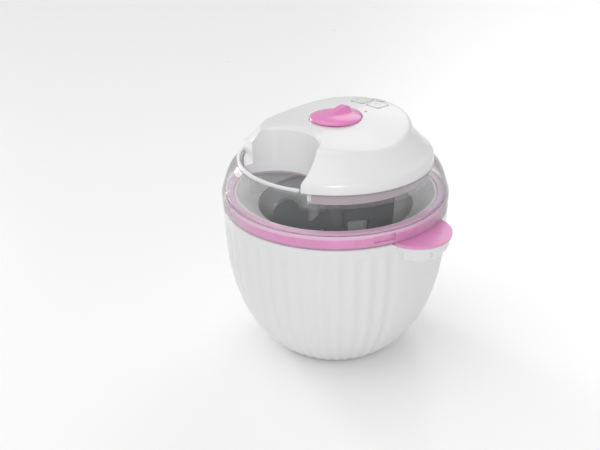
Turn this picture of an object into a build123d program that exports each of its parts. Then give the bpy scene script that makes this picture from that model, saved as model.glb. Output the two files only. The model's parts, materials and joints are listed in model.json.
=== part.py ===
# Counter-top ice cream maker: a fluted tub holds a lift-out freezer bowl with a grip ring;
# a clear lid with a filling chute locks on the ring and carries the motor unit, which turns
# the mixing paddle. Origin: middle of the base, on the surface the feet stand on. +Z is up,
# the two grips lie along X, the filling chute faces -Y and the keypad lies towards +Y.
import os
from math import atan, cos, hypot, pi, radians, sin, sqrt

from build123d import *

os.makedirs("parts", exist_ok=True)

# ---------------------------------------------------------------- driving dimensions, mm
# Tub
body_radius = 111.0
rim_height = 153.4
body_wall = 3.0
straight_band = 24.0
pole_drop = 20.0
body_roundness = 2.3
foot_height = 2.0
foot_radius = 9.0
foot_circle = 50.0
flute_count = 48
flute_depth = 1.1
flute_margin = 4.0
flute_fade = 12.0
panel_flutes = 2
lug_radius = 32.0
lug_reach = 133.0
lug_depth = 24.0
lug_lip = 3.0
base_plate_thickness = 3.0
base_flange = 5.4
boss_circle = 48.0
boss_radius = 4.5

# Freezer bowl
flange_thickness = 1.5
liner_wall = 1.8
shell_wall = 2.2
shell_radius_top = 96.0
shell_radius_bottom = 80.0
shell_height = 117.5
cup_radius_top = 76.5
cup_radius_bottom = 70.0
cup_wall = 1.5
cup_floor_gap = 10.0
cup_corner = 14.0
seal_section = 1.6

# Grip ring on the bowl
ring_gap = 0.6
ring_height = 13.2
ring_outer = 109.0
ring_inner = 100.1
ring_shoulder = 3.0
ring_shoulder_width = 2.4
tab_reach = 134.6
tab_radius = 33.2
tab_thickness = 2.8
slot_angle = -18.0
slot_sweep = 9.0
slot_width = 4.0
slot_depth = 1.6
slot_count = 4

# Clear lid
lid_wall = 1.8
skirt_clearance = 0.5
skirt_straight = 12.0
dome_height = 44.0
collar_radius = 95.5
collar_lip = 3.0
seat_width = 5.3
deck_drop = 12.0
deck_thickness = 2.0
chute_radius = 42.0
chute_centre_y = -80.0
chute_guard = 16.0
mouth_from = -145.5
mouth_to = -65.0
flare_corner = (-40.6, -69.7)
flare_end = (-82.0, -49.0)
flare_overlap = 12.0
funnel_depth = 7.0
funnel_flare = 8.0

# Motor unit
cover_radius = 94.7
cover_wall = 2.4
cover_band = 6.0
roof_centre_rise = 38.4
roof_crown = 300.0
roof_edge = 9.0
base_floor = 2.2
base_side = 1.6
gear_module = 1.0
pinion_teeth = 12
wheel_teeth = 48
output_teeth = 60
gear_width = 5.0
cluster_angle = 34.0
motor_angle = 126.0
motor_radius = 17.0
motor_height = 23.0
plate_thickness = 2.4
shaft_radius = 4.0
hex_width = 8.0
hex_length = 15.0
knob_radius = 25.0
knob_height = 14.0
knob_spindle = 3.0
key_width = 17.0
key_corner = 3.4
key_offset = 10.2
key_centre_y = 48.0
small_key = (14.0, 6.4)
key_travel = 0.8
board_size = (38.0, 28.0)
gland_bore = 3.2

# Paddle
paddle_angle = -105.5
paddle_thickness = 5.0
blade_width = 30.0
blade_bar = 14.0
paddle_hub = 9.0
paddle_gap = 2.6

# Fits
running_clearance = 0.05
sliding_clearance = 0.3
loose_clearance = 0.6

# ---------------------------------------------------------------- derived levels
ring_z = rim_height + ring_gap
ring_top = ring_z + ring_height
bulge_z = rim_height - straight_band
notch_z = ring_z - tab_thickness - ring_gap
liner_z = notch_z - flange_thickness - loose_clearance
shell_bottom = liner_z - shell_height
cup_floor = shell_bottom + shell_wall + cup_floor_gap
lid_top = ring_z + dome_height
deck_top = lid_top - deck_drop
skirt_inner = ring_outer + skirt_clearance
skirt_outer = skirt_inner + lid_wall
seat_inner = collar_radius - seat_width
roof_z = ring_z + dome_height + roof_centre_rise
base_low = deck_top + 0.4
base_radius = seat_inner - 1.7
liner_radius_top = shell_radius_top + 1.5
liner_radius_bottom = shell_radius_bottom + 1.5
flange_radius = body_radius - body_wall - sliding_clearance
plate_z = base_low + base_floor + 2 * gear_width + 4.6
gland_z = lid_top + 8.5


def body_radius_at(z):
    """Outer radius of the tub at a height: straight under the rim, then a superellipse."""
    if z >= bulge_z:
        return body_radius
    share = (bulge_z - z) / (bulge_z + pole_drop)
    return body_radius * (1 - share**body_roundness) ** (1 / body_roundness)


def ease(share):
    """Smooth step from 0 to 1."""
    share = min(max(share, 0.0), 1.0)
    return share * share * (3 - 2 * share)


def polar(radius, degrees):
    """Point in the XY plane at a radius and an angle from +X."""
    return (radius * cos(radians(degrees)), radius * sin(radians(degrees)))


def turned(outline):
    """Solid of revolution about Z from a closed outline of (radius, height) points."""
    with BuildPart() as piece:
        with BuildSketch(Plane.XZ):
            with BuildLine():
                Polyline(*outline, close=True)
            make_face()
        revolve(axis=Axis.Z)
    return piece.part


def export_piece(builder, name):
    """Label a finished sub-part and write its STEP file."""
    builder.part.label = name
    export_step(builder.part, f"parts/{name}.step")


# ---------------------------------------------------------------- tub
def flute_section(z):
    """Closed outline of the tub at a height: cosine flutes, none on the two grip panels."""
    samples = 4 * flute_count
    fade = ease((rim_height - flute_margin - z) / flute_fade)
    depth = flute_depth * fade * body_radius_at(z) / body_radius
    points = []
    for index in range(samples):
        angle = 2 * pi * index / samples
        flute = (index / 4) % (flute_count / 2)
        fluted = panel_flutes <= flute <= flute_count / 2 - panel_flutes
        cut = depth * (1 - cos(flute_count * angle)) / 2 if fluted else 0.0
        radius = body_radius_at(z) - cut
        points.append(Vector(radius * cos(angle), radius * sin(angle)))
    steps = [index / samples for index in range(samples + 1)]
    return Edge.make_spline(points, periodic=True, parameters=steps)


def tub_cavity():
    """Space inside the tub: base pocket, base hole, body cavity and the liner's ledge."""
    pocket = body_radius_at(foot_height) - body_wall
    hole = pocket - base_flange
    plate_top = foot_height + base_plate_thickness
    floor_top = plate_top + 2.4
    ledge = liner_radius_top + liner_wall + 2.4
    shelf = liner_z - flange_thickness
    wall_levels = [floor_top, 24.0, 50.0, 80.0, bulge_z]
    inner = body_radius - body_wall
    with BuildPart() as cavity:
        with BuildSketch(Plane.XZ):
            with BuildLine():
                Polyline(
                    (0, foot_height - 1),
                    (pocket, foot_height - 1),
                    (pocket, plate_top),
                    (hole, plate_top),
                    (hole, floor_top),
                    (body_radius_at(floor_top) - body_wall, floor_top),
                )
                Spline(*[(body_radius_at(z) - body_wall, z) for z in wall_levels])
                Polyline(
                    (inner, bulge_z),
                    (inner, shelf - 10),
                    (ledge, shelf - 4),
                    (ledge, shelf),
                    (inner, shelf),
                    (inner, rim_height + 1),
                    (0, rim_height + 1),
                    (0, foot_height - 1),
                )
            make_face()
        revolve(axis=Axis.Z)
    return cavity.part


def lug_outline(radius, depth):
    """Half profile of a grip lug about its own upright axis."""
    with BuildSketch(Plane.XZ) as profile:
        with BuildLine():
            Line((0, notch_z), (radius, notch_z))
            Line((radius, notch_z), (radius, notch_z - lug_lip))
            scoop = EllipticalCenterArc(
                (0, notch_z - lug_lip), radius, depth - lug_lip, start_angle=270, arc_size=90
            )
            Line(scoop @ 0, (0, notch_z))
        make_face()
    return profile.sketch


def grip_lugs():
    """The two scooped lugs that the tub carries under the bowl's tabs."""
    centre = lug_reach - lug_radius
    with BuildPart() as lug:
        with Locations((centre, 0, 0)):
            add(revolve(lug_outline(lug_radius, lug_depth), axis=Axis.Z, mode=Mode.PRIVATE))
    with BuildPart() as lugs:
        add(lug.part)
        add(lug.part.rotate(Axis.Z, 180))
    return lugs.part


with BuildPart() as outer_housing:
    for level in (foot_height, 8, 18, 32, 50, 72, 96, 118, 137, rim_height - 4, rim_height):
        with BuildSketch(Plane.XY.offset(level)):
            with BuildLine():
                add(flute_section(level))
            make_face()
    loft()
    add(grip_lugs())
    add(tub_cavity(), mode=Mode.SUBTRACT)
    # The rim is lowered between the grips' tabs and their lugs.
    with BuildSketch(Plane.XY.offset(notch_z)):
        Rectangle(2 * lug_reach + 20, 2 * tab_radius + 2 * loose_clearance)
        Circle(body_radius - 2 * body_wall, mode=Mode.SUBTRACT)
    extrude(amount=rim_height, mode=Mode.SUBTRACT)
export_piece(outer_housing, "outer_housing")

with BuildPart() as housing_liner:
    top = liner_z
    low = shell_bottom - 0.5
    add(
        turned(
            [
                (0, low - liner_wall),
                (liner_radius_bottom + liner_wall, low - liner_wall),
                (liner_radius_top + liner_wall, top - flange_thickness),
                (flange_radius, top - flange_thickness),
                (flange_radius, top),
                (liner_radius_top, top),
                (liner_radius_bottom, low),
                (0, low),
            ]
        )
    )
    boss_low = foot_height + base_plate_thickness
    with BuildSketch(Plane.XY.offset(boss_low)):
        with PolarLocations(boss_circle, 4, start_angle=45):
            Circle(boss_radius)
    extrude(amount=low - liner_wall - boss_low)
    with BuildSketch(Plane.XY.offset(boss_low)):
        with PolarLocations(boss_circle, 4, start_angle=45):
            Circle(1.5)
    extrude(amount=12, mode=Mode.SUBTRACT)
export_piece(housing_liner, "housing_liner")

with BuildPart() as base_plate:
    plate_radius = body_radius_at(foot_height) - body_wall - sliding_clearance
    with BuildSketch(Plane.XY.offset(foot_height)):
        Circle(plate_radius)
    extrude(amount=base_plate_thickness)
    with BuildSketch(Plane.XY.offset(foot_height)):
        with PolarLocations(boss_circle, 4, start_angle=45):
            Circle(2.0)
    extrude(amount=base_plate_thickness, mode=Mode.SUBTRACT)
    with BuildSketch(Plane.XY.offset(foot_height)):
        with PolarLocations(boss_circle, 4, start_angle=45):
            Circle(3.8)
        with PolarLocations(foot_circle, 4):
            Circle(3.05)
    extrude(amount=1.8, mode=Mode.SUBTRACT)
export_piece(base_plate, "base_plate")

with BuildPart() as rubber_feet:
    with BuildSketch():
        with PolarLocations(foot_circle, 4):
            Circle(foot_radius)
    extrude(amount=foot_height)
    fillet(rubber_feet.edges().group_by(Axis.Z)[0], 0.8)
    with BuildSketch(Plane.XY.offset(foot_height)):
        with PolarLocations(foot_circle, 4):
            Circle(3.0)
    extrude(amount=1.7)
export_piece(rubber_feet, "rubber_feet")

with BuildPart() as base_screws:
    with BuildSketch(Plane.XY.offset(foot_height + 0.3)):
        with PolarLocations(boss_circle, 4, start_angle=45):
            Circle(3.4)
    extrude(amount=1.5)
    with BuildSketch(Plane.XY.offset(foot_height + 1.8)):
        with PolarLocations(boss_circle, 4, start_angle=45):
            Circle(1.45)
    extrude(amount=11)
export_piece(base_screws, "base_screws")

# ---------------------------------------------------------------- freezer bowl
cup_lip_z = liner_z - 1.0
shelf_inner = cup_radius_top + cup_wall + 6.0
with BuildPart() as bowl_outer_shell:
    shelf_z = cup_lip_z - cup_wall
    add(
        turned(
            [
                (0, shell_bottom),
                (shell_radius_bottom, shell_bottom),
                (shell_radius_top, liner_z),
                (flange_radius - 0.7, liner_z),
                (flange_radius - 0.7, liner_z + flange_thickness),
                (shell_radius_top - shell_wall, liner_z + flange_thickness),
                (shell_radius_top - shell_wall, shelf_z),
                (shelf_inner, shelf_z),
                (shelf_inner, shelf_z - shell_wall),
                (shell_radius_top - 2 * shell_wall, shelf_z - shell_wall),
                (shell_radius_bottom - shell_wall, shell_bottom + shell_wall),
                (0, shell_bottom + shell_wall),
            ]
        )
    )
export_piece(bowl_outer_shell, "bowl_outer_shell")

with BuildPart() as bowl_inner_cup:
    with BuildSketch(Plane.XZ):
        with BuildLine():
            wall_line = FilletPolyline(
                (0, cup_floor),
                (cup_radius_bottom, cup_floor),
                (cup_radius_top, cup_lip_z),
                radius=cup_corner,
            )
            outer_line = FilletPolyline(
                (0, cup_floor - cup_wall),
                (cup_radius_bottom + cup_wall, cup_floor - cup_wall),
                (cup_radius_top + cup_wall, cup_lip_z - cup_wall),
                radius=cup_corner + cup_wall,
            )
            lip = shelf_inner + 4
            Polyline(
                outer_line @ 1,
                (lip, cup_lip_z - cup_wall),
                (lip, cup_lip_z),
                wall_line @ 1,
            )
            Line(outer_line @ 0, wall_line @ 0)
        make_face()
    revolve(axis=Axis.Z)
export_piece(bowl_inner_cup, "bowl_inner_cup")

with BuildPart() as coolant_gel:
    gap = 0.1
    gel_top = cup_lip_z - 8
    with BuildSketch(Plane.XZ):
        with BuildLine():
            gel_inner = FilletPolyline(
                (0, cup_floor - cup_wall - gap),
                (cup_radius_bottom + cup_wall + gap, cup_floor - cup_wall - gap),
                (cup_radius_top + cup_wall + gap, cup_lip_z - cup_wall),
                radius=cup_corner + cup_wall + gap,
            )
            Polyline(
                gel_inner @ 0,
                (0, shell_bottom + shell_wall + gap),
                (shell_radius_bottom - shell_wall - gap, shell_bottom + shell_wall + gap),
                (shell_radius_top - 2 * shell_wall - gap, cup_lip_z - cup_wall),
                gel_inner @ 1,
            )
        make_face()
    revolve(axis=Axis.Z)
    split(bisect_by=Plane.XY.offset(gel_top), keep=Keep.BOTTOM)
export_piece(coolant_gel, "coolant_gel")

rim_underside = cup_lip_z + seal_section
with BuildPart() as bowl_seal:
    add(
        turned(
            [
                (cup_radius_top + 3, cup_lip_z),
                (cup_radius_top + 7, cup_lip_z),
                (cup_radius_top + 7, rim_underside),
                (cup_radius_top + 3, rim_underside),
            ]
        )
    )
export_piece(bowl_seal, "bowl_seal")

with BuildPart() as bowl_rim:
    inner = cup_radius_top + 0.9
    collar = ring_inner - sliding_clearance
    clip = collar + 2.8
    foot_z = liner_z + flange_thickness
    add(
        turned(
            [
                (inner, rim_underside),
                (inner, rim_underside + 1.4),
                (inner + 1.0, rim_underside + 2.0),
                (collar - 2.6, ring_top - 2.0),
                (collar - 2.2, ring_top - 1.4),
                (collar, ring_top - 1.4),
                (collar, ring_z),
                (clip, ring_z),
                (clip, foot_z),
                (collar - 2.2, foot_z),
                (collar - 2.2, ring_top - 4.0),
                (cup_radius_top + 8, rim_underside + 2.6),
                (cup_radius_top + 8, rim_underside),
            ]
        )
    )
export_piece(bowl_rim, "bowl_rim")


shoulder_z = ring_top - ring_shoulder
with BuildPart() as bowl_ring:
    with BuildSketch(Plane.XZ):
        with BuildLine():
            Polyline(
                (ring_inner, ring_z),
                (ring_outer, ring_z),
                (ring_outer, shoulder_z),
                (ring_outer - ring_shoulder_width, shoulder_z),
                (ring_outer - ring_shoulder_width, ring_top),
                (ring_inner, ring_top),
                close=True,
            )
        make_face()
    revolve(axis=Axis.Z)
    fillet(bowl_ring.edges().group_by(Axis.Z)[-1], 1.0)
    with BuildSketch(Plane.XY.offset(ring_z - tab_thickness)):
        with Locations((tab_reach - tab_radius, 0), (tab_radius - tab_reach, 0)):
            Circle(tab_radius)
        Circle(ring_inner + 3.4, mode=Mode.SUBTRACT)
    extrude(amount=tab_thickness)
    tab_rims = bowl_ring.edges().group_by(Axis.Z)[0].filter_by(
        lambda edge: edge.center().length > ring_outer
    )
    fillet(tab_rims, 1.0)
    # Bayonet slots: an upright entry and a level run that the lid's lugs turn into.
    lug_low = ring_z + 3.0
    lug_high = shoulder_z - 0.7
    with BuildSketch(Plane.XY.offset(lug_low)):
        for turn in range(slot_count):
            centre = slot_angle + 360 / slot_count * turn
            with BuildLine():
                entry = slot_width / ring_outer * 90 / pi
                inner_arc = CenterArc(
                    (0, 0), ring_outer - slot_depth, centre - slot_sweep - entry, slot_sweep + 2 * entry
                )
                outer_arc = CenterArc(
                    (0, 0), ring_outer + 1, centre - slot_sweep - entry, slot_sweep + 2 * entry
                )
                Line(inner_arc @ 0, outer_arc @ 0)
                Line(inner_arc @ 1, outer_arc @ 1)
            make_face()
    extrude(amount=lug_high + 0.4 - lug_low, mode=Mode.SUBTRACT)
    with BuildSketch(Plane.XY.offset(lug_low)):
        with PolarLocations(ring_outer, slot_count, start_angle=slot_angle):
            Rectangle(2 * slot_depth, slot_width)
    extrude(amount=ring_top - lug_low, mode=Mode.SUBTRACT)
export_piece(bowl_ring, "bowl_ring")

# ---------------------------------------------------------------- lid
with BuildPart() as lid_seal:
    add(
        turned(
            [
                (ring_outer - ring_shoulder_width + 0.2, shoulder_z),
                (ring_outer - 0.1, shoulder_z),
                (ring_outer - 0.1, shoulder_z + 1.8),
                (ring_outer - ring_shoulder_width + 0.2, shoulder_z + 1.8),
            ]
        )
    )
export_piece(lid_seal, "lid_seal")


def dome_profile(inset, low_z):
    """Outline from the skirt over the dome to the collar, moved in by a wall."""
    skirt_top = ring_z + skirt_straight
    high = lid_top - inset
    return [
        (skirt_outer - inset, low_z),
        (skirt_outer - inset, skirt_top),
        (skirt_outer - inset - 1.9, ring_z + 20),
        (skirt_outer - inset - 5.4, ring_z + 30),
        (skirt_outer - inset - 10.6, ring_z + 39),
        (collar_radius - inset * 0.4, high),
    ]


def lid_body(inset, low_z):
    """Solid of revolution filling the lid up to its collar."""
    outline = dome_profile(inset, low_z)
    with BuildPart() as dome:
        with BuildSketch(Plane.XZ):
            with BuildLine():
                Line((0, low_z), outline[0])
                Line(outline[0], outline[1])
                Spline(*outline[1:], tangents=[(0, 1), (-0.75, 0.66)])
                Line(outline[-1], (0, outline[-1][1]))
                Line((0, outline[-1][1]), (0, low_z))
            make_face()
        revolve(axis=Axis.Z)
    return dome.part


with BuildPart() as clear_lid:
    skirt_low = ring_z + ring_gap
    step_z = ring_top - ring_shoulder + 1.8
    deck_low = deck_top - deck_thickness
    add(lid_body(0, skirt_low))
    add(lid_body(lid_wall, skirt_low), mode=Mode.SUBTRACT)
    # The well that the motor unit stands in: seat, side wall and deck.
    add(
        turned(
            [
                (0, deck_low),
                (seat_inner + lid_wall, deck_low),
                (seat_inner + lid_wall, lid_top - lid_wall),
                (collar_radius - 0.6, lid_top - lid_wall),
                (collar_radius, lid_top),
                (0, lid_top),
            ]
        )
    )
    with BuildSketch(Plane.XY.offset(deck_top)):
        Circle(seat_inner)
    extrude(amount=deck_drop + 1, mode=Mode.SUBTRACT)
    # Step over the seal.
    add(
        turned(
            [
                (ring_outer - ring_shoulder_width + 0.4, step_z),
                (skirt_inner + 0.2, step_z),
                (skirt_inner + 0.2, step_z + 5),
                (skirt_inner - 0.6, step_z + 5),
            ]
        )
    )
    # Filling chute: a round hole through seat and deck with a guard wall under it.
    with BuildSketch(Plane.XY.offset(deck_low - chute_guard)):
        with Locations((0, chute_centre_y)):
            Circle(chute_radius)
        Circle(cup_radius_top + 8, mode=Mode.INTERSECT)
    extrude(amount=chute_guard)
    with BuildSketch(Plane.XY.offset(deck_low - chute_guard - 1)):
        with Locations((0, chute_centre_y)):
            Circle(chute_radius - lid_wall)
        Circle(collar_radius - 3.4, mode=Mode.INTERSECT)
    extrude(amount=lid_top + 5, mode=Mode.SUBTRACT)
    # Raised pouring lip across the mouth.
    with BuildSketch(Plane.XY.offset(lid_top - lid_wall)):
        with BuildLine():
            lip_in = CenterArc((0, 0), collar_radius - 3.4, mouth_from, mouth_to - mouth_from)
            lip_out = CenterArc((0, 0), collar_radius - 0.4, mouth_from, mouth_to - mouth_from)
            Line(lip_in @ 0, lip_out @ 0)
            Line(lip_in @ 1, lip_out @ 1)
        make_face()
    extrude(amount=lid_wall + collar_lip)
    fillet(clear_lid.edges().group_by(Axis.Z)[-1], 0.9)
    # Bush seat in the middle of the deck.
    with BuildSketch(Plane.XY.offset(deck_low - 3)):
        Circle(paddle_hub + 5)
    extrude(amount=3)
    with BuildSketch(Plane.XY.offset(deck_low - 4)):
        Circle(paddle_hub + 2.4)
    extrude(amount=deck_thickness + 5, mode=Mode.SUBTRACT)
    # Bayonet lugs inside the skirt.
    with BuildSketch(Plane.XY.offset(ring_z + 3.6)):
        with PolarLocations(skirt_inner - 0.5, slot_count, start_angle=slot_angle):
            Rectangle(2.2, slot_width - 1.0)
    extrude(amount=ring_height - ring_shoulder - 5.0)
export_piece(clear_lid, "clear_lid")

with BuildPart() as lid_bush:
    with BuildSketch(Plane.XY.offset(deck_top - deck_thickness - 3)):
        Circle(paddle_hub + 2.4)
        Circle(paddle_hub + running_clearance, mode=Mode.SUBTRACT)
    extrude(amount=deck_thickness + 3)
export_piece(lid_bush, "lid_bush")

# ---------------------------------------------------------------- motor unit
tower_radius = cover_radius - 23.5
roof_levels = [(-100, -13.5), (-50, -2.9), (0, 0.0), (45, 4.6), (76, 2.4), (100, -2.0)]


def cover_form(inset):
    """Outer form of the motor cover, moved in by a wall: turned flank under a crowned roof."""
    low = lid_top
    edge = cover_radius - inset
    tower = tower_radius - inset
    flank = [
        (edge - 0.2, low + cover_band),
        (edge - 4.6, low + 12.0),
        (edge - 14.0, low + 21.0),
        (tower + 2.6, low + 29.0),
        (tower, low + 37.0),
        (tower - 2.0, low + 60.0),
    ]
    with BuildPart() as form:
        with BuildSketch(Plane.XZ):
            with BuildLine():
                Polyline((0, low - 5), (edge, low - 5), (edge, low), flank[0])
                Spline(*flank, tangents=[(-0.08, 1), (-0.05, 1)])
                Polyline(flank[-1], (0, flank[-1][1]), (0, low - 5))
            make_face()
        revolve(axis=Axis.Z)
        # The roof line turns about a deep axle along Y; it starts underneath, which keeps
        # the seam off the roof.
        axle = roof_z - roof_crown
        with BuildSketch(Plane.YZ):
            with BuildLine():
                roof = Spline(*[(y, axle - roof_crown - rise + inset) for y, rise in roof_levels])
                Polyline(roof @ 1, (100, axle), (-100, axle), roof @ 0)
            make_face()
        revolve(axis=Axis((0, 0, axle), (0, 1, 0)), mode=Mode.INTERSECT)
        top = form.faces().sort_by(Axis.Z)[-1]
        fillet(top.edges(), max(roof_edge - inset, 2.0))
    return form.part


def chute_cutter(grow):
    """Filling recess: an upright round well that opens like a funnel at the roof."""
    upright = Plane((0, chute_centre_y, 0), x_dir=(0, -1, 0), z_dir=(-1, 0, 0))
    radius = chute_radius + grow
    funnel_z = roof_z - funnel_depth
    with BuildPart() as cutter:
        with BuildSketch(upright):
            with BuildLine():
                Polyline(
                    (0, base_low - 10),
                    (radius, base_low - 10),
                    (radius, funnel_z),
                    (radius + funnel_flare, funnel_z + 2 * funnel_depth),
                    (radius + funnel_flare, roof_z + 30),
                    (0, roof_z + 30),
                    close=True,
                )
            make_face()
        revolve(axis=Axis((0, chute_centre_y, 0), (0, 0, 1)))
    return cutter.part


def flare_outline(grow):
    """Plan of the opening that carries the recess out to the left, over the pouring lip."""
    run = hypot(flare_end[0] - flare_corner[0], flare_end[1] - flare_corner[1])
    along = ((flare_end[0] - flare_corner[0]) / run, (flare_end[1] - flare_corner[1]) / run)
    outward = (-along[1] * -grow, along[0] * -grow)
    start = (
        flare_corner[0] - flare_overlap * along[0] + outward[0],
        flare_corner[1] - flare_overlap * along[1] + outward[1],
    )
    stop = (
        flare_end[0] + flare_overlap * along[0] + outward[0],
        flare_end[1] + flare_overlap * along[1] + outward[1],
    )
    with BuildSketch() as outline:
        with BuildLine():
            Polyline(start, stop, (stop[0], -cover_radius), (start[0], -cover_radius), start)
        make_face()
    return outline.sketch


def mouth_flare(grow):
    """Upright-walled cutter for the flare."""
    return extrude(Plane.XY.offset(lid_top - 6) * flare_outline(grow), amount=lid_top)


with BuildPart() as cover_solid:
    add(cover_form(0.0))
    split(bisect_by=Plane.XY.offset(lid_top), keep=Keep.TOP)
shell_form = cover_solid.part
room_form = cover_form(cover_wall)
small_key_y = key_centre_y + key_width / 2 + small_key[1] / 2 + 2.4
keys = {
    "display_window": (-key_offset, key_centre_y, key_width, key_width, 0.0),
    "start_key": (key_offset, key_centre_y, key_width, key_width, key_travel),
    "timer_key": (0.0, small_key_y, *small_key, key_travel),
}
light_place = (14.0, 27.0)


def key_outline(place, grow):
    """Rounded rectangle in plan at a keypad place, grown by a margin."""
    x, y, width, depth, travel = place
    corner = min(key_corner, depth / 2 - 0.6)
    with BuildSketch() as outline:
        with Locations((x, y)):
            RectangleRounded(width + 2 * grow, depth + 2 * grow, corner + grow)
    return outline.sketch


with BuildPart() as cover_room:
    add(room_form)
    add(chute_cutter(cover_wall), mode=Mode.SUBTRACT)
    add(mouth_flare(cover_wall), mode=Mode.SUBTRACT)

with BuildPart() as motor_cover:
    add(shell_form)
    add(chute_cutter(0.0), mode=Mode.SUBTRACT)
    add(cover_room.part, mode=Mode.SUBTRACT)
    add(mouth_flare(0.0), mode=Mode.SUBTRACT)
    # Shallow dish, spindle hole, key wells and the light's hole.
    with BuildSketch(Plane.XY.offset(roof_z - 1.0)):
        Circle(knob_radius + loose_clearance)
    extrude(amount=20, mode=Mode.SUBTRACT)
    with BuildSketch(Plane.XY.offset(roof_z - 12)):
        Circle(knob_spindle + running_clearance)
    extrude(amount=20, mode=Mode.SUBTRACT)
    for place in keys.values():
        extrude(
            Plane.XY.offset(roof_z - 8) * key_outline(place, sliding_clearance),
            amount=30,
            mode=Mode.SUBTRACT,
        )
    with BuildSketch(Plane.XY.offset(roof_z - 12)):
        with Locations(light_place):
            Circle(1.6)
    extrude(amount=30, mode=Mode.SUBTRACT)
    # Gland hole in the back.
    with BuildSketch(Plane.XZ.offset(-cover_radius + 30)):
        with Locations((0, gland_z)):
            Circle(gland_bore + 2.4)
    extrude(amount=-40, mode=Mode.SUBTRACT)
export_piece(motor_cover, "motor_cover")

# Motor base: the grey tray under the cover, with the same recess
tray_low = base_low + base_floor
boss_points = [(62.0, -30.0), (66.0, 26.0), (-66.0, 26.0), (-62.0, -30.0)]
column_points = [(58.0, 4.0), (-24.0, 44.0), (-40.0, -14.0)]
cluster_centre = polar(gear_module * (pinion_teeth + output_teeth) / 2, cluster_angle)
motor_arm = polar(gear_module * (pinion_teeth + wheel_teeth) / 2, motor_angle)
motor_centre = (cluster_centre[0] + motor_arm[0], cluster_centre[1] + motor_arm[1])
output_low = tray_low + 1.0
wheel_low = output_low + gear_width + 1.0


def tray_outline(shrink):
    """Plan of the motor base: a disc with the chute's recess cut out, moved in by a wall."""
    with BuildSketch() as outline:
        Circle(base_radius - shrink)
        with Locations((0, chute_centre_y)):
            Circle(chute_radius + shrink, mode=Mode.SUBTRACT)
    return outline.sketch


with BuildPart() as motor_base:
    extrude(Plane.XY.offset(base_low) * tray_outline(0.0), amount=lid_top - base_low)
    with BuildSketch(Plane.XY.offset(lid_top)):
        Circle(cover_radius - cover_wall - sliding_clearance)
        with Locations((0, chute_centre_y)):
            Circle(chute_radius + cover_wall + sliding_clearance, mode=Mode.SUBTRACT)
        add(flare_outline(cover_wall + sliding_clearance), mode=Mode.SUBTRACT)
    extrude(amount=2.0)
    extrude(
        Plane.XY.offset(tray_low) * tray_outline(base_side),
        amount=roof_z,
        mode=Mode.SUBTRACT,
    )
    # Shelf that closes the tray under the cover's flare.
    with BuildSketch(Plane.XY.offset(lid_top - 2.0)):
        add(tray_outline(0.0))
        add(flare_outline(cover_wall + 2.0), mode=Mode.INTERSECT)
    extrude(amount=2.0)
    with BuildSketch(Plane.XY.offset(tray_low)):
        with Locations(*column_points):
            Circle(4.0)
    extrude(amount=plate_z - tray_low)
    with BuildSketch(Plane.XY.offset(tray_low)):
        with Locations(*boss_points):
            Circle(4.0)
    extrude(amount=lid_top + 1.0 - tray_low)
    with BuildSketch(Plane.XY.offset(base_low)):
        with Locations(*boss_points):
            Circle(1.9)
        Circle(shaft_radius + 3.5)
        with Locations(cluster_centre):
            Circle(2.0)
    extrude(amount=roof_z, mode=Mode.SUBTRACT)
    with BuildSketch(Plane.XY.offset(base_low)):
        with Locations(*boss_points):
            Circle(3.4)
    extrude(amount=1.6, mode=Mode.SUBTRACT)
    with BuildSketch(Plane.XY.offset(plate_z - 8)):
        with Locations(*column_points):
            Circle(1.2)
    extrude(amount=10, mode=Mode.SUBTRACT)
export_piece(motor_base, "motor_base")


# Drive
def gear_sketch(teeth, centre, turn, bore):
    """Spur gear in plan: involute flanks, a tooth centred at the turn angle."""
    pitch = gear_module * teeth / 2
    base = pitch * cos(radians(25))
    tip = pitch + 0.75 * gear_module
    root = pitch - 1.0 * gear_module
    half_tooth = (pi * gear_module / 2 - 0.16) / 2 / pitch

    def involute(radius):
        """Angle that the flank has turned at a radius."""
        slope = sqrt(max((radius / base) ** 2 - 1, 0.0))
        return slope - atan(slope)

    def half_angle(radius):
        """Half of the tooth's angle at a radius."""
        return half_tooth + involute(pitch) - involute(max(radius, base))

    radii = [root] + [max(root, base) + (tip - max(root, base)) * step / 4 for step in range(5)]
    points = []
    for tooth in range(teeth):
        middle = radians(turn) + 2 * pi * tooth / teeth
        rising = [(radius, middle - half_angle(radius)) for radius in radii]
        falling = [(radius, middle + half_angle(radius)) for radius in reversed(radii)]
        points += [
            (centre[0] + radius * cos(angle), centre[1] + radius * sin(angle))
            for radius, angle in rising + falling
        ]
    distinct = [
        point
        for index, point in enumerate(points)
        if hypot(point[0] - points[index - 1][0], point[1] - points[index - 1][1]) > 1e-4
    ]
    with BuildSketch() as gear:
        with BuildLine():
            Polyline(*distinct, close=True)
        make_face()
        with Locations(centre):
            Circle(bore, mode=Mode.SUBTRACT)
    return gear.sketch


def gap_turn(teeth, toward):
    """Turn that puts a gap, not a tooth, on a direction."""
    return toward + 180 / teeth


output_gap = gap_turn(output_teeth, cluster_angle)
wheel_gap = gap_turn(wheel_teeth, motor_angle)
drive_high = plate_z + plate_thickness + 1.0

with BuildPart() as output_gear:
    extrude(
        Plane.XY.offset(output_low) * gear_sketch(output_teeth, (0, 0), output_gap, shaft_radius),
        amount=gear_width,
    )
    with BuildSketch(Plane.XY.offset(output_low + gear_width)):
        Circle(7.0)
        Circle(shaft_radius, mode=Mode.SUBTRACT)
    extrude(amount=4.0)
export_piece(output_gear, "output_gear")

with BuildPart() as output_shaft:
    with BuildSketch(Plane.XY.offset(base_low - 1.0)):
        Circle(shaft_radius)
    extrude(amount=drive_high - base_low + 1.0)
    with BuildSketch(Plane.XY.offset(base_low - 1.0 - hex_length)):
        RegularPolygon(hex_width / 2, 6, major_radius=False, rotation=paddle_angle)
    extrude(amount=hex_length)
    chamfer(output_shaft.edges().group_by(Axis.Z)[0], 0.8)
export_piece(output_shaft, "output_shaft")

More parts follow.
